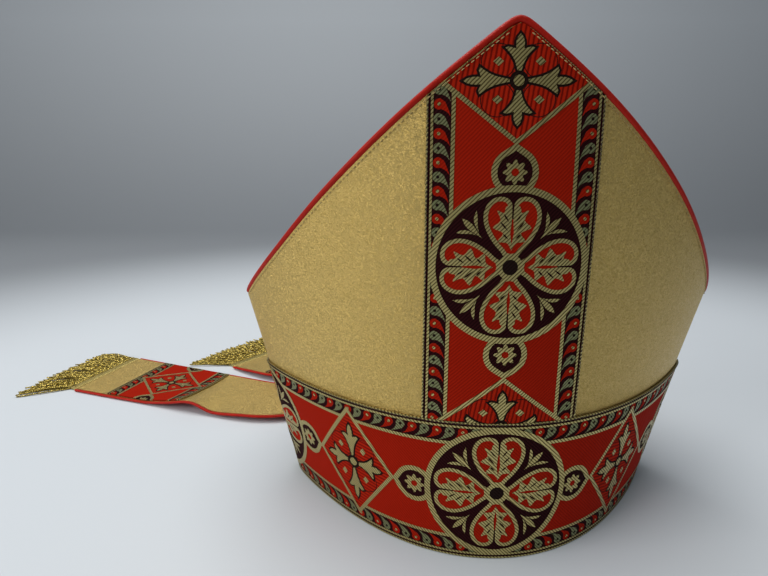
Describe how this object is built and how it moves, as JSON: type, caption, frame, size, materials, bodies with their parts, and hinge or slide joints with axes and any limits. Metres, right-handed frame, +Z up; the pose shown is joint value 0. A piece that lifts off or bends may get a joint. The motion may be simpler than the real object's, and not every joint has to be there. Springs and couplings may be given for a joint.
{
  "type": "bishop mitre",
  "caption": "Pointed ceremonial hat of stiff gold cloth with woven red galloon bands, red piping, a folded gusset and fringed lappets laid out behind.",
  "frame": {"origin": "middle of the footprint of the mitre and its lappets, on the surface that it stands on", "axes": "+Z up, the front horn faces -Y, the lappets lie towards -X"},
  "size_m": [0.5408, 0.344, 0.2735],
  "materials": {
    "gold_cloth": "gold lame cloth with a fine glitter",
    "red_cord": "satin cord",
    "red_lining": "plain satin lining",
    "galloon": "woven red, maroon and gold galloon",
    "gold_bullion": "twisted metal thread"
  },
  "bodies": {
    "root": {"front_panel": "gold_cloth", "back_panel": "gold_cloth", "gusset": "red_lining", "circulus": "galloon", "front_orphrey": "galloon", "back_orphrey": "galloon", "front_piping": "red_cord", "back_piping": "red_cord", "left_lappet_cloth": "gold_cloth", "left_lappet_lining": "red_lining", "left_lappet_left_piping": "red_cord", "left_lappet_right_piping": "red_cord", "left_lappet_galloon": "galloon", "left_lappet_fringe": "gold_bullion", "right_lappet_cloth": "gold_cloth", "right_lappet_lining": "red_lining", "right_lappet_left_piping": "red_cord", "right_lappet_right_piping": "red_cord", "right_lappet_galloon": "galloon", "right_lappet_fringe": "gold_bullion"}
  },
  "joints": []
}
